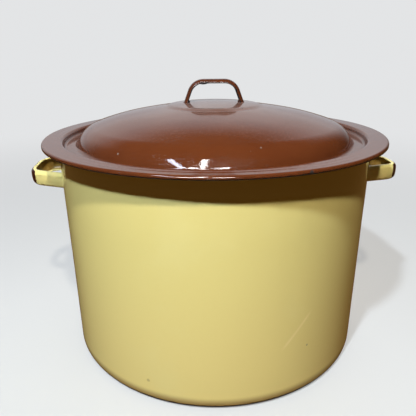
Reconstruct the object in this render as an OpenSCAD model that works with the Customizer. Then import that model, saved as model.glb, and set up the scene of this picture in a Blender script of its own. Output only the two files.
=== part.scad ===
// Enamelled-steel stock pot with a loose domed lid.
// Origin: centre of the base, on the surface it stands on. +Z up, side handles along X.

/* [Pot] */
// Outer diameter of the straight wall
pot_d = 320; // [240:1:400]
// Height from the table to the top of the lid's brim
brim_z = 224.5; // [150:0.5:320]
// Thickness of the enamelled sheet
sheet = 1.2; // [0.8:0.1:1.8]
// Outer radius of the corner between wall and base
base_corner_r = 6.5; // [5:0.5:20]
// How far the middle of the base is pressed up off the table
base_rise = 1.2; // [0.5:0.1:3]
// Width of the ring round the pressed-up middle of the base
base_ring_w = 46; // [30:1:70]
// Inside radius of the curled rim
rim_curl_r = 1.4; // [1:0.1:2.5]

/* [Lid] */
// How far the lid reaches out past the wall
lid_overhang = 15; // [12:0.5:20]
// How far the lid's edge is turned down
lip_drop = 3.5; // [3:0.1:6]
// Depth of the groove below the brim
groove_depth = 6.8; // [6.6:0.1:9]
// Height of the crown above the brim
crown_h = 31.8; // [24:0.1:45]
// Radius of the dome's shoulder
shoulder_r = 25.5; // [18:0.5:30]
// Gap between the lid's brim and the pot's rim
seat_gap = 0.3; // [0.2:0.05:0.5]

/* [Side handles] */
// How far each handle reaches out from the wall
grip_reach = 38; // [28:0.5:50]
// Half the width of the handle's outline at the wall
grip_root_half = 33.5; // [32:0.5:45]
// Height of the strap
grip_h = 16.5; // [14:0.1:24]
// How far the top of the strap lies below the top of the lid's brim
grip_drop = 33.5; // [25:0.1:80]
// How far the left handle is set askew, with its back leg higher than its front one
left_grip_tilt = 6.5; // [0:0.5:8]

/* [Lid handle] */
// Height of the top of the lid handle above the crown
knob_rise = 22.2; // [18:0.1:35]
// Half the width of the lid handle at the lid
knob_root_half = 31.5; // [28:0.5:45]
// Width of the strap
knob_w = 15; // [10:0.5:20]

/* [Hidden] */

cream = [0.90, 0.83, 0.50];
brown = [0.42, 0.18, 0.10];

round_fn = 96;
fillet_steps = 6;
dome_steps = 16;

// Pot
pot_r = pot_d / 2;
rim_bead_r = rim_curl_r + sheet;
rim_bead_x = pot_r + rim_curl_r;
rim_bead_z = brim_z - sheet - seat_gap - rim_bead_r;
rim_curl_end = -100;
base_rise_r = pot_r - base_ring_w;
base_slope_w = 4;

// Lid, measured from the top of its brim
lid_r = pot_r + lid_overhang;
lip_r = 2;
spigot_gap = 2.6;
brim_inner_r = 3.5;
spigot_r = pot_r - sheet - spigot_gap - sheet;
groove_outer_r = 3;
groove_inner_r = 4;
groove_w = 13;
dome_foot_r = spigot_r - groove_w;
shoulder_z = -12.7;
// The dome passes the groove floor at dome_foot_r, which places the shoulder's centre
shoulder_x = dome_foot_r - sqrt(pow(shoulder_r, 2) - pow(groove_depth + shoulder_z, 2));
dome_h = crown_h - shoulder_z;
crown_r = (pow(shoulder_x, 2) + pow(dome_h, 2) - pow(shoulder_r, 2)) / (2 * (dome_h - shoulder_r));
crown_z = crown_h - crown_r;
shoulder_start = atan2(shoulder_z - crown_z, shoulder_x);
foot_reach = shoulder_r + groove_inner_r;
foot_z = groove_inner_r - groove_depth;
foot_x = shoulder_x + sqrt(pow(foot_reach, 2) - pow(foot_z - shoulder_z, 2));
foot_angle = atan2(foot_z - shoulder_z, foot_x - shoulder_x);

// Handles: a strap bent from sheet, with its long edges rolled inwards.
// A taper is how far the legs close in for each unit of reach. Both come from triangles with
// whole sides, 7-24-25 and 44-117-125, so the turned pieces meet exactly.
strap_sheet = 1.2;
roll_share = 0.25;
grip_depth = 5.8;
grip_taper = 7 / 24;
grip_bend_r = 19;
grip_mid_z = brim_z - grip_drop - grip_h / 2;
grip_foot_len = 9;
knob_depth = 4.2;
knob_taper = 44 / 117;
knob_bend_r = 17;
knob_foot_len = 6;
foot_spare = 6;
crown_top_z = brim_z + crown_h;
knob_root_z = brim_z + crown_z + sqrt(pow(crown_r, 2) - pow(knob_root_half, 2));

function arc(centre, r, from, to, steps) =
    [for (i = [0:steps]) let (a = from + (to - from) * i / steps) centre + r * [cos(a), sin(a)]];
function back(points) = [for (i = [len(points) - 1:-1:0]) points[i]];

// Radius of the strap's rolled edges, and width of its feet
function roll_r(width) = roll_share * width;
function foot_w(width) = width - 2 * roll_r(width);

// The pot's sheet from the base's centre to the rim, at a depth inside its outer face
function pot_line(depth) = concat(
    [[0, base_rise + depth],
     [base_rise_r - depth / 2, base_rise + depth],
     [base_rise_r + base_slope_w - depth / 2, depth]],
    arc([pot_r - base_corner_r, base_corner_r], base_corner_r - depth, -90, 0, 2 * fillet_steps),
    arc([rim_bead_x, rim_bead_z], rim_curl_r + depth, 180, rim_curl_end, 4 * fillet_steps));

// The lid's sheet from the crown to the lip, at a depth below its top face
function lid_line(depth) = concat(
    arc([0, crown_z], crown_r - depth, 90, shoulder_start, dome_steps),
    arc([shoulder_x, shoulder_z], shoulder_r - depth, shoulder_start, foot_angle, dome_steps),
    arc([foot_x, foot_z], groove_inner_r + depth, foot_angle + 180, 270, fillet_steps),
    arc([spigot_r - groove_outer_r, groove_outer_r - groove_depth],
        groove_outer_r + depth, -90, 0, fillet_steps),
    arc([spigot_r + brim_inner_r, -brim_inner_r], brim_inner_r - depth, 180, 90, fillet_steps),
    arc([lid_r - lip_r, -lip_r], lip_r - depth, 90, 0, fillet_steps),
    [[lid_r - depth, -lip_drop]]);

// Section of the strap: outer face on x = 0, edges rolled towards -x, width along y
module strap_section(width, depth) {
    module block(inset) {
        r = roll_r(width) - inset;
        half = width / 2 - inset;
        for (side = [-1, 1])
            translate([-roll_r(width), side * (half - r)])
                circle(r = r, $fn = round_fn);
        translate([-roll_r(width), -half + r])
            square([r, 2 * (half - r)]);
        translate([-2 * depth, -half])
            square([2 * depth - roll_r(width), 2 * half]);
    }
    intersection() {
        difference() {
            block(0);
            block(strap_sheet);
        }
        translate([-depth, -width])
            square([2 * depth, 2 * width]);
    }
}

// A straight length of strap along +Y
module strap_run(length, width, depth) {
    rotate([90, 0, 0])
        mirror([0, 0, 1])
            linear_extrude(height = length)
                strap_section(width, depth);
}

// A bend of strap about Z, from the X axis round through an angle
module strap_bend(bend_r, width, depth, turn) {
    reach = 2 * bend_r;
    intersection() {
        rotate([0, 0, 180])
            rotate_extrude($fn = round_fn)
                translate([bend_r, 0])
                    strap_section(width, depth);
        translate([-reach, 0, -width])
            cube([2 * reach, reach, 2 * width]);
        rotate([0, 0, turn])
            translate([-reach, -reach, -width])
                cube([2 * reach, reach, 2 * width]);
    }
}

// A loop of strap that stands out along +X from a root plane at x = 0.
// Its legs run on past the root by foot_spare, to be trimmed against the shell.
module strap_loop(reach, root_half, bend_r, width, depth, taper) {
    turn = 90 - atan(taper);
    bend_leg = bend_r * tan(turn / 2);
    bar_half = root_half - reach * taper - bend_leg;
    leg = reach * norm([1, taper]) - bend_leg;
    for (side = [0, 1])
        mirror([0, side, 0]) {
            translate([reach, 0, 0])
                strap_run(bar_half, width, depth);
            translate([reach - bend_r, bar_half, 0]) {
                strap_bend(bend_r, width, depth, turn);
                rotate([0, 0, turn])
                    translate([bend_r, 0, 0])
                        strap_run(leg + foot_spare, width, depth);
            }
        }
}

// A side handle on the +X side, with its feet folded in flat on the wall
module side_handle(tilt) {
    root_x = sqrt(pow(pot_r, 2) - pow(grip_root_half, 2));
    reach = grip_reach + pot_r - root_x;
    foot_y = grip_root_half - strap_sheet / 2;
    module wall(extra) {
        cylinder(r = pot_r + extra, h = brim_z, $fn = round_fn);
    }
    color(cream) {
        difference() {
            translate([root_x, 0, grip_mid_z])
                rotate([tilt, 0, 0])
                    strap_loop(reach, grip_root_half, grip_bend_r, grip_h, grip_depth, grip_taper);
            wall(0);
        }
        intersection() {
            difference() {
                wall(strap_sheet);
                wall(0);
            }
            translate([0, 0, grip_mid_z])
                rotate([tilt, 0, 0])
                    for (side = [0, 1])
                        mirror([0, side, 0])
                            translate([0, foot_y - grip_foot_len, -foot_w(grip_h) / 2])
                                cube([pot_d, grip_foot_len, foot_w(grip_h)]);
        }
    }
}

module pot_shell() {
    color(cream)
        rotate_extrude($fn = round_fn)
            polygon(concat(pot_line(0), back(pot_line(sheet))));
}

module right_handle() {
    side_handle(0);
}

module left_handle() {
    mirror([1, 0, 0])
        side_handle(left_grip_tilt);
}

module lid_shell() {
    color(brown)
        translate([0, 0, brim_z])
            rotate_extrude($fn = round_fn)
                polygon(concat(lid_line(0), back(lid_line(sheet))));
}

// The lid handle, across the lid, with its feet folded in on the crown
module lid_handle() {
    reach = crown_top_z + knob_rise - knob_root_z;
    foot_end = knob_root_half - strap_sheet / 2;
    module dome(extra) {
        translate([0, 0, brim_z + crown_z])
            sphere(r = crown_r + extra, $fn = round_fn);
    }
    color(brown) {
        difference() {
            translate([0, 0, knob_root_z])
                rotate([0, -90, -90])
                    strap_loop(reach, knob_root_half, knob_bend_r, knob_w, knob_depth, knob_taper);
            dome(0);
        }
        difference() {
            intersection() {
                for (side = [0, 1])
                    mirror([side, 0, 0])
                        translate([foot_end - knob_foot_len, -foot_w(knob_w) / 2, knob_root_z - foot_spare])
                            cube([knob_foot_len, foot_w(knob_w), 2 * foot_spare]);
                dome(strap_sheet);
            }
            dome(0);
        }
    }
}

pot_shell();
left_handle();
right_handle();
lid_shell();
lid_handle();
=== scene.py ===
"""Enamelled stock pot: the looks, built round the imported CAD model.

Each CAD node is replaced by a finer mesh of the same shape, with its own enamel.
Shapes are drawn in millimetres, in the CAD frame, and become metres as a mesh is made.
"""

import math

import bmesh
import bpy
from mathutils import Matrix, Vector, noise


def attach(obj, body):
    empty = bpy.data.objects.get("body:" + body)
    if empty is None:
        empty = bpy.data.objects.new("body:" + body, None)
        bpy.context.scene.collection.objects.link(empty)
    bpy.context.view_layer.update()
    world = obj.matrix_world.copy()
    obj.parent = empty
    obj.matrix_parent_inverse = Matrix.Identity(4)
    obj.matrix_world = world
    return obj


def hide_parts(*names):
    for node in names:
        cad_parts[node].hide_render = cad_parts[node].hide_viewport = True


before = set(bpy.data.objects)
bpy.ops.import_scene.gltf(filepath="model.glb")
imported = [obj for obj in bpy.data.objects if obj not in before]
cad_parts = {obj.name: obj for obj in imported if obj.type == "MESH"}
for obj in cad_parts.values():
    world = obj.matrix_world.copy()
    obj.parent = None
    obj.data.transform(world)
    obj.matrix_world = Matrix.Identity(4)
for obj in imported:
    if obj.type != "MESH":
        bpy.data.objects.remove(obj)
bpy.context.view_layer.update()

MM = 0.001
AROUND = 288

# Pot, the same sizes as the CAD source
POT_R = 160.0
SHEET = 1.2
BRIM_Z = 224.5
BASE_CORNER_R = 6.5
BASE_RISE = 1.2
BASE_RISE_R = 114.0
BASE_SLOPE_W = 4.0
RIM_CURL_R = 1.4
SEAT_GAP = 0.3
RIM_BEAD_X = POT_R + RIM_CURL_R
RIM_BEAD_Z = BRIM_Z - SHEET - SEAT_GAP - RIM_CURL_R - SHEET

# Lid, with heights from the top of its brim
LID_R = 175.0
LIP_R = 2.0
LIP_DROP = 3.5
BRIM_INNER_R = 3.5
SPIGOT_R = POT_R - 2 * SHEET - 2.6
GROOVE_DEPTH = 6.8
GROOVE_OUTER_R = 3.0
GROOVE_INNER_R = 4.0
DOME_FOOT_R = SPIGOT_R - 13.0
CROWN_H = 31.8
SHOULDER_R = 25.5
SHOULDER_Z = -12.7
SHOULDER_X = DOME_FOOT_R - math.sqrt(SHOULDER_R**2 - (GROOVE_DEPTH + SHOULDER_Z) ** 2)
DOME_H = CROWN_H - SHOULDER_Z
CROWN_R = (SHOULDER_X**2 + DOME_H**2 - SHOULDER_R**2) / (2 * (DOME_H - SHOULDER_R))
CROWN_Z = CROWN_H - CROWN_R

# Handles: a strap with rolled edges, its legs closing in by a taper, its feet folded in
STRAP_SHEET = 1.2
ROLL_SHARE = 0.25
GRIP_REACH = 38.0
GRIP_ROOT_HALF = 33.5
GRIP_H = 16.5
GRIP_DEPTH = 5.8
GRIP_MID_Z = BRIM_Z - 33.5 - GRIP_H / 2
GRIP_TAPER = 7 / 24
GRIP_BEND_R = 19.0
GRIP_FOOT_LEN = 9.0
LEFT_GRIP_TILT = 6.5
KNOB_RISE = 22.2
KNOB_ROOT_HALF = 31.5
KNOB_W = 15.0
KNOB_DEPTH = 4.2
KNOB_TAPER = 44 / 117
KNOB_BEND_R = 17.0
KNOB_FOOT_LEN = 6.0
KNOB_ROOT_Z = BRIM_Z + CROWN_Z + math.sqrt(CROWN_R**2 - KNOB_ROOT_HALF**2)

# Small shapes that the CAD source leaves out
EMBED = 0.08
EDGE_NOSE = 0.35
STRAP_NOSE = 0.3
STRAP_CROWN = 0.25
WELD_POOL = 0.55
WALL_WAVER = 0.14
DOME_WAVER = 0.1
BRIM_RING_H = 0.035
BRIM_RING_W = 6.2
DISC_R = 45.0
DISC_H = 1.1


# ---------------------------------------------------------------- shapes


def arc(cx, cz, r, start, end, steps):
    """Points on an arc, with angles in degrees."""
    angles = [math.radians(start + (end - start) * i / steps) for i in range(steps + 1)]
    return [(cx + r * math.cos(a), cz + r * math.sin(a)) for a in angles]


def line(a, b, steps):
    """Points from a to b, both ends included."""
    return [tuple(p + (q - p) * i / steps for p, q in zip(a, b)) for i in range(steps + 1)]


def smooth(x, low, high):
    """0 below low, 1 above high, and a smooth step between."""
    t = min(1.0, max(0.0, (x - low) / (high - low)))
    return t * t * (3 - 2 * t)


def ripple(x, y, z, wave, seed):
    """Slow unevenness of pressed sheet, between about -1 and 1."""
    return noise.noise(Vector((x / wave + seed, y / wave, z / wave)))


def make_object(name, verts, faces, slots, materials):
    """A smooth-shaded mesh from points in millimetres. slots gives each face's material."""
    mesh = bpy.data.meshes.new(name)
    mesh.from_pydata([(x * MM, y * MM, z * MM) for x, y, z in verts], [], faces)
    for material in materials:
        mesh.materials.append(material)
    mesh.polygons.foreach_set("material_index", slots)
    work = bmesh.new()
    work.from_mesh(mesh)
    bmesh.ops.recalc_face_normals(work, faces=work.faces)
    work.to_mesh(mesh)
    work.free()
    mesh.shade_smooth()
    mesh.set_sharp_from_angle(angle=math.radians(50))
    made = bpy.data.objects.new(name, mesh)
    bpy.context.scene.collection.objects.link(made)
    return made


def revolve(name, profile, materials, shift):
    """Turns a closed sheet's section about Z. profile holds (x, z, material) from the axis,
    round the sheet's edge and back to the axis. shift gives each point's unevenness as
    (outward, up)."""
    verts = []
    rings = []
    for x, z, _ in profile:
        count = AROUND if x > 1e-6 else 1
        ring = []
        for k in range(count):
            a = math.tau * k / AROUND
            out, up = shift(x, z, a)
            ring.append(len(verts))
            verts.append(((x + out) * math.cos(a), (x + out) * math.sin(a), z + up))
        rings.append(ring)
    faces = []
    slots = []
    for lower, upper, (_, _, slot) in zip(rings, rings[1:], profile[1:]):
        for k in range(AROUND):
            n = (k + 1) % AROUND
            corners = [lower[k % len(lower)], lower[n % len(lower)]]
            corners += [upper[n % len(upper)], upper[k % len(upper)]]
            faces.append(list(dict.fromkeys(corners)))
            slots.append(slot)
    return make_object(name, verts, faces, slots, materials)


def pot_line(depth):
    """The pot's sheet from the middle of the base to the rim, at a depth inside its outer face,
    as (points of the base and corner, points of the wall, points of the rim's curl)."""
    slope_in = BASE_RISE_R - depth / 2
    slope_out = slope_in + BASE_SLOPE_W
    raised = BASE_RISE + depth
    base = line((0, raised), (slope_in - 3, raised), 8)
    base += line((slope_in - 1, raised - 0.08), (slope_out + 1, depth + 0.05), 5)
    base += line((slope_out + 3, depth), (POT_R - BASE_CORNER_R - 3, depth), 6)
    base += arc(POT_R - BASE_CORNER_R, BASE_CORNER_R, BASE_CORNER_R - depth, -90, 0, 24)
    wall = line((POT_R - depth, BASE_CORNER_R + 3), (POT_R - depth, RIM_BEAD_Z - 3), 40)
    curl = arc(RIM_BEAD_X, RIM_BEAD_Z, RIM_CURL_R + depth, 180, -92, 30)
    return base, wall, curl


def sheet_end(outer, inner):
    """Two points that round off a sheet's cut edge between its two faces."""
    (ax, az), (bx, bz) = outer[-1], inner[-1]
    (px, pz) = outer[-2]
    run = math.hypot(ax - px, az - pz)
    tx, tz = (ax - px) / run, (az - pz) / run
    return [
        (ax + (bx - ax) * share + tx * EDGE_NOSE, az + (bz - az) * share + tz * EDGE_NOSE)
        for share in (0.25, 0.75)
    ]


def lid_line(depth):
    """The lid's sheet from the crown to the lip, at a depth below its top face."""
    start = math.degrees(math.atan2(SHOULDER_Z - CROWN_Z, SHOULDER_X))
    foot_z = GROOVE_INNER_R - GROOVE_DEPTH
    foot_x = SHOULDER_X + math.sqrt((SHOULDER_R + GROOVE_INNER_R) ** 2 - (foot_z - SHOULDER_Z) ** 2)
    foot_angle = math.degrees(math.atan2(foot_z - SHOULDER_Z, foot_x - SHOULDER_X))
    crown = arc(0, CROWN_Z, CROWN_R - depth, 90, start, 80)
    crown[0] = (0, crown[0][1])
    shoulder = arc(SHOULDER_X, SHOULDER_Z, SHOULDER_R - depth, start, foot_angle, 30)
    foot = arc(foot_x, foot_z, GROOVE_INNER_R + depth, foot_angle + 180, 270, 12)
    outer_x = SPIGOT_R - GROOVE_OUTER_R
    rise = arc(outer_x, GROOVE_OUTER_R - GROOVE_DEPTH, GROOVE_OUTER_R + depth, -90, 0, 12)
    shelf = arc(SPIGOT_R + BRIM_INNER_R, -BRIM_INNER_R, BRIM_INNER_R - depth, 180, 90, 12)
    edge = arc(LID_R - LIP_R, -LIP_R, LIP_R - depth, 90, 0, 12)
    brim = line(shelf[-1], edge[0], 26)[1:-1]
    lip = [(LID_R - depth, EDGE_NOSE - LIP_DROP)]
    floor = line(foot[-1], rise[0], 4)[1:-1]
    points = crown + shoulder[1:] + foot[1:] + floor + rise + shelf + brim + edge + lip
    return [(x, BRIM_Z + z) for x, z in points]


def roll_r(width):
    """Radius of the strap's rolled edges."""
    return ROLL_SHARE * width


def strap_section(width, depth):
    """The strap's two skins as lists of (depth behind the outer face, place across the width)."""
    roll = roll_r(width)

    def bow(w, flat):
        return STRAP_CROWN * min(1.0, abs(w) / flat) ** 2

    def skin(inset):
        r = roll - inset
        half = width / 2 - inset
        flat = half - r
        end = half + (2 * inset / STRAP_SHEET - 1) * STRAP_NOSE
        side = [(depth, end), (depth - STRAP_NOSE, half)]
        for i in range(11):
            a = math.radians(9 * i)
            side.append((roll - r * math.sin(a), half - r + r * math.cos(a)))
        middle = [(inset, flat * (1 - i / 6)) for i in range(1, 7)]
        upper = side + middle
        whole = upper + [(d, -w) for d, w in reversed(upper[:-1])]
        return [(d + bow(w, flat) * (1 - smooth(d, roll * 0.5, roll)), w) for d, w in whole]

    return skin(0), skin(STRAP_SHEET)


def wall_hit(radius):
    """How far a ray goes, in both its directions, to the upright cylinder of that radius."""

    def hit(p, d):
        a = d.x**2 + d.y**2
        b = p.x * d.x + p.y * d.y
        c = p.x**2 + p.y**2 - radius**2
        root = math.sqrt(b * b - a * c)
        return min((-b - root) / a, (-b + root) / a, key=abs)

    return hit


def dome_hit(radius):
    """How far a ray goes to the crown's sphere, taken at that radius."""
    centre = Vector((0, 0, BRIM_Z + CROWN_Z))

    def hit(p, d):
        q = p - centre
        b = q.dot(d)
        root = math.sqrt(b * b - (q.length_squared - radius**2))
        return min(-b - root, -b + root, key=abs)

    return hit


def strap_slot(j, across):
    """Material slot of the face after point j of a section whose skins have that many points:
    0 on the outer skin, 1 on the inner skin and 2 on the strap's edges."""
    edge = 3
    from_edge = min(abs(j - end) for end in (-1, across - 1, 2 * across - 1))
    if from_edge <= edge:
        return 2
    return 0 if j < across else 1


def strap_loop(reach, root_half, bend_r, width, depth, taper, place, hit, drip=None):
    """The strap as (verts, faces, slots). place turns (outward, sideways, across) into the CAD
    frame, and hit says where the legs meet the shell. drip adds to one rolled edge's depth."""
    outer, inner = strap_section(width, depth)
    loop = outer + inner[::-1]
    count = len(loop)
    turn = math.pi / 2 - math.atan(taper)
    bend_leg = bend_r * math.tan(turn / 2)
    bar_half = root_half - reach * taper - bend_leg
    centre_u, centre_v = reach - bend_r, bar_half

    # Outline as (outward, sideways, angle of the outer face's direction), on the +side
    outline = []
    for i in range(21):
        a = turn * (1 - i / 20)
        outline.append((centre_u + bend_r * math.cos(a), centre_v + bend_r * math.sin(a), a))
    outline += [(reach, bar_half * (1 - i / 8), 0.0) for i in range(1, 9)]
    outline += [(u, -v, -a) for u, v, a in reversed(outline[:-1])]

    def ring(u, v, a):
        made = []
        for d, w in loop:
            if drip and w < 0:
                d += drip(v) * smooth(d, roll_r(width) * 0.6, roll_r(width))
            made.append(place(u - d * math.cos(a), v - d * math.sin(a), w))
        return made

    def leg(end, a, side):
        """Rings from the shell to the bend, with enamel pooled where the leg meets the shell."""
        along = (place(math.sin(turn), -side * math.cos(turn), 0) - place(0, 0, 0)).normalized()
        middle = sum(end, Vector()) / count
        rings = []
        for near in (0.0, 0.15, 0.35, 0.6, 0.9, 1.3, 1.8):
            pool = WELD_POOL * (1 - near / 1.8) ** 2
            made = []
            for j, p in enumerate(end):
                start = p + along * hit(p, along)
                before, after = end[j - 1], end[(j + 1) % count]
                out = (after - before).cross(along)
                if out.length > 1e-9:
                    out.normalize()
                if j < len(outer) and out.dot(p - middle) < 0:
                    out = -out
                if j >= len(outer):
                    out = Vector()
                made.append(start + along * near + out * pool)
            rings.append(made)
        last = rings[-1]
        rings += [[q + (p - q) * i / 4 for p, q in zip(end, last)] for i in range(1, 4)]
        return rings

    bends = [ring(*spot) for spot in outline]
    rings = leg(bends[0], turn, 1) + bends + leg(bends[-1], -turn, -1)[::-1]
    verts = [p for made in rings for p in made]
    faces = []
    slots = []
    for i in range(len(rings) - 1):
        for j in range(count):
            k = (j + 1) % count
            faces.append([i * count + j, i * count + k, (i + 1) * count + k, (i + 1) * count + j])
            slots.append(strap_slot(j, len(outer)))
    for base in (0, (len(rings) - 1) * count):
        for j in range(len(outer) - 1):
            pair = [base + j, base + j + 1, base + count - 2 - j, base + count - 1 - j]
            faces.append(pair)
            slots.append(0)
    return verts, faces, slots


def foot_pad(length, width, place):
    """A foot with rounded edges and one weld dimple. place turns (along, across, height) into
    the CAD frame."""
    corner = 2.4
    edge = 0.8
    sides = 8

    def outline(inset):
        r = corner - inset
        points = []
        for q, (sx, sy) in enumerate(((1, 1), (-1, 1), (-1, -1), (1, -1))):
            for i in range(sides + 1):
                a = math.pi / 2 * (q + i / sides)
                px = sx * (length / 2 - corner) + r * math.cos(a)
                py = sy * (width / 2 - corner) + r * math.sin(a)
                points.append((px, py))
        return points

    rings = [[(x, y, -EMBED) for x, y in outline(0)]]
    for i in range(1, 7):
        a = math.pi / 2 * i / 6
        height = STRAP_SHEET - edge + edge * math.sin(a)
        rings.append([(x, y, height) for x, y in outline(edge * (1 - math.cos(a)))])
    rim = rings[-1]
    for share in (0.85, 0.7, 0.55, 0.42, 0.3, 0.2, 0.1):
        made = []
        for x, y, z in rim:
            dip = 0.4 * math.exp(-((math.hypot(x * share, y * share) / 1.5) ** 2))
            made.append((x * share, y * share, z - dip))
        rings.append(made)
    count = len(rim)
    verts = [place(*p) for made in rings for p in made]
    verts += [place(0, 0, STRAP_SHEET - 0.4), place(0, 0, -EMBED)]
    faces = []
    for i in range(len(rings) - 1):
        for j in range(count):
            k = (j + 1) % count
            faces.append([i * count + j, i * count + k, (i + 1) * count + k, (i + 1) * count + j])
    last = (len(rings) - 1) * count
    for j in range(count):
        k = (j + 1) % count
        faces.append([last + j, last + k, len(verts) - 2])
        faces.append([j, k, len(verts) - 1])
    return verts, faces, [0] * len(faces)


def joined(parts):
    """Several (verts, faces, slots) as one."""
    verts, faces, slots = [], [], []
    for more_verts, more_faces, more_slots in parts:
        start = len(verts)
        verts += more_verts
        faces += [[start + i for i in face] for face in more_faces]
        slots += more_slots
    return verts, faces, slots


def side_grip(name, side, tilt, materials):
    """A side handle. side is 1 on +X and -1 on -X."""
    root_x = math.sqrt(POT_R**2 - GRIP_ROOT_HALF**2)
    cos_t, sin_t = math.cos(math.radians(tilt)), math.sin(math.radians(tilt))

    def place(u, v, w):
        y, z = v * cos_t - w * sin_t, v * sin_t + w * cos_t
        return Vector((side * (root_x + u), y, GRIP_MID_Z + z))

    def foot_place(v_side):
        mid = GRIP_ROOT_HALF - STRAP_SHEET / 2 - GRIP_FOOT_LEN / 2

        def on_wall(along, across, height):
            flat = place(0, v_side * (mid + along), across)
            a = math.asin(flat.y / POT_R)
            r = POT_R + height
            return Vector((side * r * math.cos(a), r * math.sin(a), flat.z))

        return on_wall

    reach = GRIP_REACH + POT_R - root_x
    hit = wall_hit(POT_R - EMBED)
    strap = strap_loop(
        reach, GRIP_ROOT_HALF, GRIP_BEND_R, GRIP_H, GRIP_DEPTH, GRIP_TAPER, place, hit
    )
    foot_w = GRIP_H - 2 * roll_r(GRIP_H)
    feet = [foot_pad(GRIP_FOOT_LEN, foot_w, foot_place(s)) for s in (1, -1)]
    return make_object(name, *joined([strap] + feet), materials)


def lid_grip(name, materials):
    """The lid handle, across the lid along X."""

    def place(u, v, w):
        return Vector((v, w, KNOB_ROOT_Z + u))

    def foot_place(v_side):
        mid = KNOB_ROOT_HALF - STRAP_SHEET / 2 - KNOB_FOOT_LEN / 2

        def on_dome(along, across, height):
            x, y = v_side * (mid + along), across
            z = math.sqrt(CROWN_R**2 - x * x - y * y)
            return Vector((0, 0, BRIM_Z + CROWN_Z)) + Vector((x, y, z)) * (1 + height / CROWN_R)

        return on_dome

    def drip(x):
        return 0.9 * math.exp(-(((x + 11) / 3.5) ** 4))

    reach = BRIM_Z + CROWN_H + KNOB_RISE - KNOB_ROOT_Z
    hit = dome_hit(CROWN_R - EMBED)
    strap = strap_loop(
        reach, KNOB_ROOT_HALF, KNOB_BEND_R, KNOB_W, KNOB_DEPTH, KNOB_TAPER, place, hit, drip
    )
    foot_w = KNOB_W - 2 * roll_r(KNOB_W)
    feet = [foot_pad(KNOB_FOOT_LEN, foot_w, foot_place(s)) for s in (1, -1)]
    return make_object(name, *joined([strap] + feet), materials)


# ---------------------------------------------------------------- shader helpers


def add(tree, kind, inputs=None, **settings):
    """Adds a shader node. An input's value is a number, a colour or another node's socket."""
    made = tree.nodes.new("ShaderNode" + kind)
    for key, value in settings.items():
        setattr(made, key, value)
    for key, value in (inputs or {}).items():
        socket = made.inputs[key]
        if isinstance(value, bpy.types.NodeSocket):
            tree.links.new(value, socket)
        else:
            socket.default_value = value
    return made


def calc(tree, operation, *values):
    return add(tree, "Math", dict(enumerate(values)), operation=operation).outputs[0]


def times(tree, a, b):
    return calc(tree, "MULTIPLY", a, b)


def step(tree, value, low, high):
    """0 where value is at low, 1 at high, with a smooth step between."""
    inputs = {"Value": value, "From Min": low, "From Max": high}
    return add(tree, "MapRange", inputs, interpolation_type="SMOOTHSTEP").outputs[0]


def blend(tree, share, a, b):
    """A colour between a and b."""
    mix = add(tree, "Mix", {"Factor": share, "A": a, "B": b}, data_type="RGBA")
    return mix.outputs["Result"]


def noise_at(tree, place, per_metre, detail=3.0, stretch=(1, 1, 1)):
    """Soft noise round 0.5. per_metre is how many waves it has in a metre."""
    moved = add(tree, "Mapping", {"Vector": place, "Scale": stretch}).outputs[0]
    inputs = {"Vector": moved, "Scale": per_metre, "Detail": detail}
    return add(tree, "TexNoise", inputs).outputs["Fac"]


def along(tree, place, axis):
    return add(tree, "SeparateXYZ", {0: place}).outputs[axis]


def either(tree, *masks):
    """The strongest of several masks, each 0 to 1."""
    most = masks[0]
    for mask in masks[1:]:
        most = calc(tree, "MAXIMUM", most, mask)
    return most


def mark(tree, place, centre, radius, ragged=0.5):
    """1 near a point given in millimetres, 0 beyond a ragged edge at about the radius."""
    middle = tuple(c * MM for c in centre)
    gap = add(tree, "VectorMath", {0: place, 1: middle}, operation="DISTANCE").outputs["Value"]
    wobble = noise_at(tree, place, 0.4 / (radius * MM), 2.0)
    reach = calc(tree, "MULTIPLY_ADD", wobble, ragged * 2 * radius * MM, (1 - ragged) * radius * MM)
    ratio = calc(tree, "DIVIDE", gap, reach)
    return step(tree, ratio, 1.1, 0.8)


def streak(tree, place, start, end, half_width):
    """1 along the line between two points, fading out to each side. In millimetres."""
    a, b = Vector(start) * MM, Vector(end) * MM
    way = (b - a).normalized()
    offset = add(tree, "VectorMath", {0: place, 1: tuple(a)}, operation="SUBTRACT").outputs[0]
    both = {0: offset, 1: tuple(way)}
    run = add(tree, "VectorMath", both, operation="DOT_PRODUCT").outputs["Value"]
    across = add(tree, "VectorMath", both, operation="CROSS_PRODUCT").outputs[0]
    gap = add(tree, "VectorMath", {0: across}, operation="LENGTH").outputs["Value"]
    beside = step(tree, gap, half_width * MM, 0.0)
    length = (b - a).length
    from_start = step(tree, run, 0.0, 0.25 * length)
    from_end = step(tree, run, length, 0.75 * length)
    return times(tree, beside, times(tree, from_start, from_end))


def specks(tree, place, spacing, radius, share):
    """Round marks of about a radius, in that share of cells a spacing apart, in millimetres."""
    cells = add(tree, "TexVoronoi", {"Vector": place, "Scale": 1 / (spacing * MM)}).outputs
    chosen = step(tree, along(tree, cells["Color"], "X"), 1 - share, 1 - share + 0.01)
    ratio = radius / spacing
    return times(tree, step(tree, cells["Distance"], ratio, 0.6 * ratio), chosen)


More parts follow.
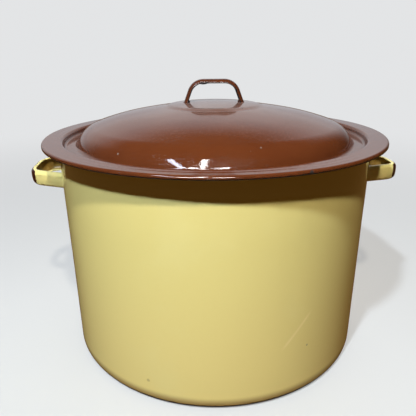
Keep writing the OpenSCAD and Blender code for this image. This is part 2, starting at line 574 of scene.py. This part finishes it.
def enamel(name, paint, gloss=0.09, pitting=0.1, shine=0.5):
    """Glassy enamel. paint gives its colour and how far it's worn through to bare metal.
    gloss is its roughness at the least, pitting how deep its pin holes are, and shine how
    strongly it mirrors."""
    made = bpy.data.materials.new(name)
    made.use_nodes = True
    tree = made.node_tree
    shader = tree.nodes["Principled BSDF"]
    shader.inputs["Specular IOR Level"].default_value = shine
    place = add(tree, "TexCoord").outputs["Object"]
    colour, bare = paint(tree, place)

    haze = step(tree, noise_at(tree, place, 22, 5.0), 0.35, 0.75)
    rough = calc(tree, "MULTIPLY_ADD", haze, 0.05, gloss)
    rough = calc(tree, "MULTIPLY_ADD", bare, 0.45, rough)

    coarse = noise_at(tree, place, 240, 1.0)
    fine = noise_at(tree, place, 800, 1.0)
    height = calc(tree, "MULTIPLY_ADD", coarse, 0.6, times(tree, fine, 0.4))
    pits = times(tree, specks(tree, place, 1.1, 0.4, 0.6), pitting)
    height = calc(tree, "SUBTRACT", height, pits)
    dented = calc(tree, "MULTIPLY_ADD", bare, -2.0, height)
    bump = add(tree, "Bump", {"Height": dented, "Distance": 0.00006, "Strength": 1.0})

    tree.links.new(colour, shader.inputs["Base Color"])
    tree.links.new(rough, shader.inputs["Roughness"])
    tree.links.new(bump.outputs[0], shader.inputs["Normal"])
    return made


# ---------------------------------------------------------------- enamels

# Colours
CREAM = (0.700, 0.615, 0.232, 1)
# CREAM_WARM is a lighter, warmer cream: random patches on the handles, and painted bounce light
# towards the pot's base
CREAM_WARM = (0.83, 0.680, 0.262, 1)
CREAM_DARKENED = (0.26, 0.160, 0.036, 1)
# Painted shade for the rounded base corner
CREAM_CORNER_SHADE = (0.22, 0.105, 0.028, 1)
CREAM_PALE = (0.79, 0.72, 0.33, 1)
CREAM_STREAK = (0.95, 0.78, 0.38, 1)
WHITE = (0.74, 0.73, 0.68, 1)
WHITE_STAINED = (0.66, 0.62, 0.50, 1)
BROWN = (0.094, 0.0245, 0.0075, 1)
BROWN_DEEP = (0.080, 0.0195, 0.0060, 1)
BROWN_DULL = (0.125, 0.048, 0.024, 1)
BROWN_DARK = (0.062, 0.019, 0.009, 1)
TIP_BROWN = (0.040, 0.008, 0.005, 1)
BARE_STEEL = (0.012, 0.010, 0.011, 1)
GREY_SCUFF = (0.30, 0.29, 0.27, 1)
DUST = (0.37, 0.33, 0.32, 1)

# Places that the paints start from, in metres
BRIM = BRIM_Z * MM
LID_EDGE = LID_R * MM
GRIP_END = (POT_R + GRIP_REACH) * MM

# Where the few single marks are, in millimetres
PALE_STREAK_ENDS = (83.4, -136.5, 91.4), (53.6, -150.8, 55.0)
WALL_SPOT = (80.5, -138.3, 53.4)
WALL_BLOT = (-64.5, -146.4, 23.1)
LID_SPOTS = (-82.3, -111.0, 226.2), (33.6, -126.5, 233.3)
LID_EDGE_CHIP = (65.9, -161.9, 222.5)
KNOB_CHIPS = (-12.5, -7.2, 273.7), (-8.0, -7.2, 273.6)


def cream_outside(tree, place):
    """Cream, lighter and warmer towards the base as painted bounce light, with the pot's few marks,
    a painted shade band over the base corner, and a dark line at the base that is partly worn to
    bare steel and partly painted contact shadow."""
    z = along(tree, place, "Z")
    patches = noise_at(tree, place, 14, 4.0)
    # Painted bounce light: the cream turns lighter and warmer towards the base, with a little
    # random patchiness mixed in
    low = step(tree, z, 0.20, 0.0)
    bounce_light_and_patches = calc(tree, "MULTIPLY_ADD", low, 0.9, times(tree, patches, 0.1))
    colour = blend(tree, bounce_light_and_patches, CREAM, CREAM_WARM)
    pale = times(tree, step(tree, patches, 0.5, 0.2), 0.3)
    colour = blend(tree, pale, colour, CREAM_PALE)
    pips = specks(tree, place, 16, 0.45, 0.12)
    # A paler diagonal streak on the wall's front
    pale_streak = streak(tree, place, *PALE_STREAK_ENDS, 2.2)
    colour = blend(tree, times(tree, pale_streak, 0.55), colour, CREAM_STREAK)
    colour = blend(tree, times(tree, pips, 0.45), colour, BROWN_DULL)
    dark = mark(tree, place, WALL_SPOT, 1.1)
    blot = mark(tree, place, WALL_BLOT, 2.2, 0.8)
    colour = blend(tree, times(tree, blot, 0.3), colour, BROWN_DULL)
    # Painted shade: a darker brown band over the rounded base corner, which turns away from the
    # light
    corner_shade = times(tree, step(tree, z, 0.0145, 0.0055), 0.8)
    colour = blend(tree, corner_shade, colour, CREAM_CORNER_SHADE)
    # A near-black line just above the floor: partly a real worn ring of bare steel, partly painted
    # contact shadow where the corner meets the floor; it also roughens and dents the enamel
    edge = calc(tree, "MULTIPLY_ADD", noise_at(tree, place, 60, 4.0), -0.0012, z)
    worn = step(tree, edge, 0.0050, 0.0038)
    bare = either(tree, times(tree, dark, 0.5), worn)
    return blend(tree, bare, colour, BARE_STEEL), bare


def white_inside(tree, place):
    """White, with a tide mark, pips and the grey rubs that spoons leave on the base."""
    z = along(tree, place, "Z")
    tide = calc(tree, "MULTIPLY_ADD", noise_at(tree, place, 18, 4.0), 0.012, z)
    below = step(tree, tide, 0.158, 0.146)
    colour = blend(tree, times(tree, below, 0.35), WHITE, WHITE_STAINED)
    rubs = step(tree, noise_at(tree, place, 90, 2.0, (0.12, 1.6, 1)), 0.62, 0.74)
    near_base = step(tree, z, 0.03, 0.004)
    rubs = times(tree, rubs, near_base)
    colour = blend(tree, times(tree, rubs, 0.5), colour, GREY_SCUFF)
    pips = specks(tree, place, 9, 0.35, 0.15)
    colour = blend(tree, times(tree, pips, 0.6), colour, GREY_SCUFF)
    return colour, times(tree, rubs, 0.3)


def brown_rim(tree, place):
    """Brown trim round the pot's mouth, chipped here and there."""
    chips = step(tree, noise_at(tree, place, 140, 3.0), 0.66, 0.70)
    colour = blend(tree, noise_at(tree, place, 40), BROWN_DEEP, BROWN)
    return blend(tree, chips, colour, BARE_STEEL), chips


def dipped_grip(tree, place):
    """Cream, with the outward face of the end painted dark brown."""
    x = along(tree, place, "X")
    reach = calc(tree, "ABSOLUTE", x)
    edge = calc(tree, "MULTIPLY_ADD", noise_at(tree, place, 220, 2.0), 0.0012, reach)
    facing = along(tree, add(tree, "TexCoord").outputs["Normal"], "X")
    outward = times(tree, facing, calc(tree, "SIGN", x))
    at_end = step(tree, edge, GRIP_END - 0.0082, GRIP_END - 0.0078)
    tip = times(tree, at_end, step(tree, outward, 0.30, 0.42))
    patches = noise_at(tree, place, 60, 4.0)
    colour = blend(tree, step(tree, patches, 0.4, 0.8), CREAM, CREAM_WARM)
    colour = blend(tree, tip, colour, TIP_BROWN)
    rubbed = times(tree, step(tree, noise_at(tree, place, 300, 3.0), 0.64, 0.72), tip)
    pips = specks(tree, place, 8, 0.4, 0.10)
    bare = times(tree, either(tree, rubbed, pips), 0.7)
    return blend(tree, bare, colour, BARE_STEEL), bare


def darkened_grip(tree, place):
    """Cream darkened to brown, on the hollow side of a side handle."""
    patches = step(tree, noise_at(tree, place, 120, 4.0), 0.45, 0.75)
    colour = blend(tree, times(tree, patches, 0.25), CREAM_DARKENED, CREAM_WARM)
    spots = times(tree, specks(tree, place, 6, 0.8, 0.25), 0.6)
    return blend(tree, spots, colour, BROWN_DARK), times(tree, spots, 0.4)


def brown_lid(tree, place):
    """Brown, scuffed and dusty on the crown, darker in patches in the groove, its turned-down edge
    worn.
    """
    z = along(tree, place, "Z")
    patches = noise_at(tree, place, 24, 5.0)
    colour = blend(tree, step(tree, patches, 0.3, 0.8), BROWN, BROWN_DEEP)
    scuffs = step(tree, noise_at(tree, place, 120, 4.0, (0.25, 1.4, 1)), 0.58, 0.72)
    on_crown = step(tree, z, BRIM + 0.0115, BRIM + 0.0275)
    dull = times(tree, times(tree, scuffs, on_crown), 0.5)
    colour = blend(tree, dull, colour, BROWN_DULL)
    smears = noise_at(tree, place, 60, 4.0, (0.7, 1.0, 1))
    dust = times(tree, step(tree, z, BRIM + 0.0185, BRIM + 0.0325), smears)
    colour = blend(tree, times(tree, dust, 0.35), colour, DUST)
    pips = specks(tree, place, 13, 0.5, 0.10)
    left_spot, right_spot = LID_SPOTS
    pale = either(tree, pips, mark(tree, place, left_spot, 1.0), mark(tree, place, right_spot, 0.9))
    colour = blend(tree, times(tree, pale, 0.3), colour, GREY_SCUFF)
    # Darker brown in patches on the groove floor
    in_groove = step(tree, z, BRIM - 0.0030, BRIM - 0.0065)
    groove_darkening = times(tree, in_groove, step(tree, patches, 0.3, 0.6))
    colour = blend(tree, times(tree, groove_darkening, 0.6), colour, BROWN_DARK)
    edge = calc(tree, "MULTIPLY_ADD", noise_at(tree, place, 90, 4.0), 0.0014, z)
    worn = step(tree, edge, BRIM - 0.0017, BRIM - 0.0023)
    flat = add(tree, "VectorMath", {0: place, 1: (1, 1, 0)}, operation="MULTIPLY").outputs[0]
    radius = add(tree, "VectorMath", {0: flat}, operation="LENGTH").outputs["Value"]
    worn = times(tree, worn, step(tree, radius, LID_EDGE - 0.0025, LID_EDGE - 0.0015))
    chip = mark(tree, place, LID_EDGE_CHIP, 1.6)
    bare = either(tree, worn, chip)
    return blend(tree, bare, colour, BARE_STEEL), either(tree, bare, times(tree, dull, 0.15))


def brown_grip(tree, place):
    """Brown, chipped to the metal under the bar."""
    patches = noise_at(tree, place, 90, 4.0)
    colour = blend(tree, step(tree, patches, 0.35, 0.75), BROWN_DARK, BROWN_DEEP)
    left_chip, right_chip = KNOB_CHIPS
    chips = either(
        tree,
        mark(tree, place, left_chip, 2.4, 0.6),
        mark(tree, place, right_chip, 2.2, 0.6),
        times(tree, specks(tree, place, 7, 0.5, 0.14), 0.8),
    )
    return blend(tree, chips, colour, BARE_STEEL), chips


def worn_edge(tree, place):
    """An edge worn through to dark steel, with a little brown left on it."""
    left = step(tree, noise_at(tree, place, 150, 3.0), 0.58, 0.68)
    bare = calc(tree, "SUBTRACT", 1.0, left)
    return blend(tree, bare, BROWN_DEEP, BARE_STEEL), bare


cream = enamel("cream_enamel", cream_outside)
white = enamel("white_enamel", white_inside)
rim_brown = enamel("rim_enamel", brown_rim)
grip_cream = enamel("grip_enamel", dipped_grip)
grip_inside = enamel("grip_inside_enamel", darkened_grip, gloss=0.2)
lid_brown = enamel("lid_enamel", brown_lid, gloss=0.025, pitting=0.7)
grip_brown = enamel("lid_grip_enamel", brown_grip, gloss=0.18, shine=0.2)
grip_worn = enamel("lid_grip_edge", worn_edge, gloss=0.25, shine=0.1)


# ---------------------------------------------------------------- pieces


def build_pot():
    base, wall, curl = pot_line(0)
    in_base, in_wall, in_curl = pot_line(SHEET)
    outer = base + wall + curl
    inner = in_base + in_wall + in_curl
    profile = [(x, z, 0) for x, z in base + wall]
    profile += [(x, z, 2) for x, z in curl]
    profile += [(x, z, 2) for x, z in sheet_end(outer, inner)]
    profile += [(x, z, 2) for x, z in in_curl[::-1]]
    profile += [(x, z, 1) for x, z in (in_base + in_wall)[::-1]]

    def shift(x, z, a):
        """The wall lies slightly inwards and wavers, but not near its handles, rim and base."""
        free = smooth(z, 12, 60) * (1 - smooth(z, 150, 170))
        waves = ripple(x * math.cos(a), x * math.sin(a), z, 70, 3.1)
        return -WALL_WAVER * free * (1 + waves), 0.0

    return revolve("pot_wall", profile, [cream, white, rim_brown], shift)


def build_lid():
    outer = lid_line(0)
    inner = lid_line(SHEET)
    profile = [(x, z, 0) for x, z in outer]
    profile += [(x, z, 0) for x, z in sheet_end(outer, inner)]
    profile += [(x, z, 0) for x, z in inner[::-1]]

    def shift(x, z, a):
        """Slow dents in the dome, rings pressed in the brim, and a flatter disc that stands up
        round the handle."""
        on_dome = 1 - smooth(x, DOME_FOOT_R - 32, DOME_FOOT_R - 4)
        dents = DOME_WAVER * on_dome * ripple(x * math.cos(a), x * math.sin(a), 0, 45, 8.7)
        on_brim = smooth(x, SPIGOT_R - 3, SPIGOT_R) * (1 - smooth(x, LID_R - 6, LID_R - 3))
        rings = BRIM_RING_H * on_brim * math.sin(math.tau * (x - SPIGOT_R + 1) / BRIM_RING_W)
        round_disc = smooth(x, DISC_R, DISC_R + 8) * (1 - smooth(x, DISC_R + 17, DISC_R + 67))
        return 0.0, dents + rings - DISC_H * round_disc

    return revolve("lid_dome", profile, [lid_brown], shift)


pot = build_pot()
lid = build_lid()
right_grip = side_grip("right_grip", 1, 0.0, [grip_cream, grip_inside, grip_cream])
left_grip = side_grip("left_grip", -1, LEFT_GRIP_TILT, [grip_cream, grip_inside, grip_cream])
knob = lid_grip("lid_grip", [grip_brown, grip_brown, grip_worn])

for piece, body, node, slot in (
    (pot, "pot", "pot_shell", "pot_enamel"),
    (right_grip, "pot", "right_handle", "grip_enamel"),
    (left_grip, "pot", "left_handle", "grip_enamel"),
    (lid, "lid", "lid_shell", "lid_enamel"),
    (knob, "lid", "lid_handle", "lid_handle_enamel"),
):
    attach(piece, body)
    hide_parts(node)


# ---------------------------------------------------------------- stage, light, camera

BACKDROP = (0.77, 0.78, 0.79, 1)
FLOOR_HALF = 12.0
AIM = Vector((0, 0, 0.2))


def floor_paper():
    """Pale matt paper, which fades into the backdrop's brightness away from the pot."""
    made = bpy.data.materials.new("floor_paper")
    made.use_nodes = True
    tree = made.node_tree
    shader = tree.nodes["Principled BSDF"]
    shader.inputs["Base Color"].default_value = (0.56, 0.56, 0.555, 1)
    shader.inputs["Roughness"].default_value = 0.7
    place = add(tree, "TexCoord").outputs["Object"]
    away = add(tree, "VectorMath", {0: place}, operation="LENGTH").outputs["Value"]
    glow = add(tree, "Emission", {"Color": BACKDROP}).outputs[0]
    share = calc(tree, "MULTIPLY_ADD", step(tree, away, 0.2, 1.5), 0.6, 0.4)
    mixed = add(tree, "MixShader", {0: share, 1: shader.outputs[0], 2: glow})
    tree.links.new(mixed.outputs[0], tree.nodes["Material Output"].inputs["Surface"])
    return made


floor_mesh = bpy.data.meshes.new("floor")
corners = [(x * FLOOR_HALF, y * FLOOR_HALF, 0) for x, y in ((-1, -1), (1, -1), (1, 1), (-1, 1))]
floor_mesh.from_pydata(corners, [], [(0, 1, 2, 3)])
floor_mesh.materials.append(floor_paper())
floor = bpy.data.objects.new("floor", floor_mesh)
bpy.context.scene.collection.objects.link(floor)
# It lights nothing and isn't mirrored: the world's lower half does that for it
floor.visible_diffuse = False
floor.visible_glossy = False


def area_light(name, shows_in, azimuth, elevation, away, width, height, watts, colour, tilt=0.0):
    """A light that faces AIM, in the pot. Azimuth 0 is in front, on -Y, and + is to +X. away is in
    metres, and width and height are in degrees as seen from AIM. shows_in is "shade" or "gloss"."""
    a, e = math.radians(azimuth), math.radians(elevation)
    out = Vector((math.sin(a) * math.cos(e), -math.cos(a) * math.cos(e), math.sin(e)))
    data = bpy.data.lights.new(name, "AREA")
    data.shape = "RECTANGLE"
    data.size = 2 * away * math.tan(math.radians(width / 2))
    data.size_y = 2 * away * math.tan(math.radians(height / 2))
    data.energy = watts
    data.color = colour
    made = bpy.data.objects.new(name, data)
    made.location = AIM + out * away
    made.rotation_mode = "QUATERNION"
    turn = Matrix.Rotation(math.radians(tilt), 4, out)
    made.rotation_quaternion = turn.to_quaternion() @ out.to_track_quat("Z", "Y")
    made.visible_diffuse = shows_in == "shade"
    made.visible_glossy = shows_in == "gloss"
    bpy.context.scene.collection.objects.link(made)


WHITE_LIGHT = (1.0, 1.0, 1.0)
WARM = (1.0, 0.93, 0.80)
BLUISH = (0.77, 0.89, 1.0)
PALE_BLUE = (0.72, 0.82, 1.0)
area_light("near_key", "shade", 1.8, 49.1, 0.9, 3, 3, 7.3, WARM)
area_light("window", "shade", -27.3, 49.0, 1.59, 3, 3, 30, BLUISH)
area_light("back_fill", "shade", 160, 25, 2.5, 60, 40, 40, WHITE_LIGHT)
area_light("lamp_shine", "gloss", -10.5, 42, 3.0, 4.2, 30, 45, WHITE_LIGHT)
area_light("window_shine", "gloss", -34.5, 36, 3.0, 4.0, 32, 36, PALE_BLUE, tilt=32)
area_light("low_shine_left", "gloss", -18.5, 23, 3.0, 10, 6, 52, WHITE_LIGHT)
area_light("low_shine_right", "gloss", 4, 23, 3.0, 12, 7, 64, WHITE_LIGHT)


def build_world():
    """A dim brown room with a pale wall behind the pot. The camera sees the plain backdrop."""
    world = bpy.data.worlds.new("studio")
    bpy.context.scene.world = world
    world.use_nodes = True
    tree = world.node_tree
    tree.nodes.clear()
    place = add(tree, "TexCoord").outputs["Generated"]
    x, y, z = (along(tree, place, axis) for axis in "XYZ")
    room = blend(tree, step(tree, x, -0.2, -0.9), (0.022, 0.014, 0.007, 1), (0.06, 0.05, 0.045, 1))
    wall = blend(tree, step(tree, z, 0.16, 0.24), (0.60, 0.62, 0.66, 1), (0.74, 0.76, 0.79, 1))
    wall = blend(tree, step(tree, z, 0.42, 0.5), wall, (0.62, 0.65, 0.70, 1))
    facing = times(tree, step(tree, y, 0.15, 0.55), step(tree, x, 0.75, 0.35))
    facing = times(tree, facing, step(tree, x, -0.95, -0.6))
    on_wall = times(tree, facing, step(tree, z, 0.74, 0.48))
    upper = blend(tree, on_wall, room, wall)
    lit = blend(tree, step(tree, z, -0.06, 0.02), (0.14, 0.066, 0.017, 1), upper)
    seen = blend(tree, add(tree, "LightPath").outputs["Is Camera Ray"], lit, BACKDROP)
    surface = add(tree, "Background", {"Color": seen, "Strength": 1.0}).outputs[0]
    add(tree, "OutputWorld", {"Surface": surface})


build_world()
bpy.context.scene.view_settings.view_transform = "Standard"

# The camera, in a frame in which the pot is turned by POT_TURN about Z. Angles are in radians,
# and the focal length is a share of the image's width.
POT_TURN = math.radians(1.5)
CAMERA_AT = Vector((0.0, -0.4501, 0.3035))
PITCH, YAW, ROLL = 0.356, -0.016, -0.009
FOCAL_SHARE = 417 / 416
SENSOR = 36.0

ahead = Vector((math.sin(YAW) * math.cos(PITCH), math.cos(YAW) * math.cos(PITCH), -math.sin(PITCH)))
right = Vector((math.cos(YAW), -math.sin(YAW), 0))
up = right.cross(ahead)
rolled_right = math.cos(ROLL) * right + math.sin(ROLL) * up
rolled_up = -math.sin(ROLL) * right + math.cos(ROLL) * up
axes = Matrix((rolled_right, rolled_up, -ahead)).transposed()
unturn = Matrix.Rotation(-POT_TURN, 3, "Z")

camera_data = bpy.data.cameras.new("camera")
camera_data.sensor_width = SENSOR
camera_data.lens = SENSOR * FOCAL_SHARE
camera = bpy.data.objects.new("camera", camera_data)
camera.matrix_world = Matrix.Translation(unturn @ CAMERA_AT) @ (unturn @ axes).to_4x4()
bpy.context.scene.collection.objects.link(camera)
bpy.context.scene.camera = camera
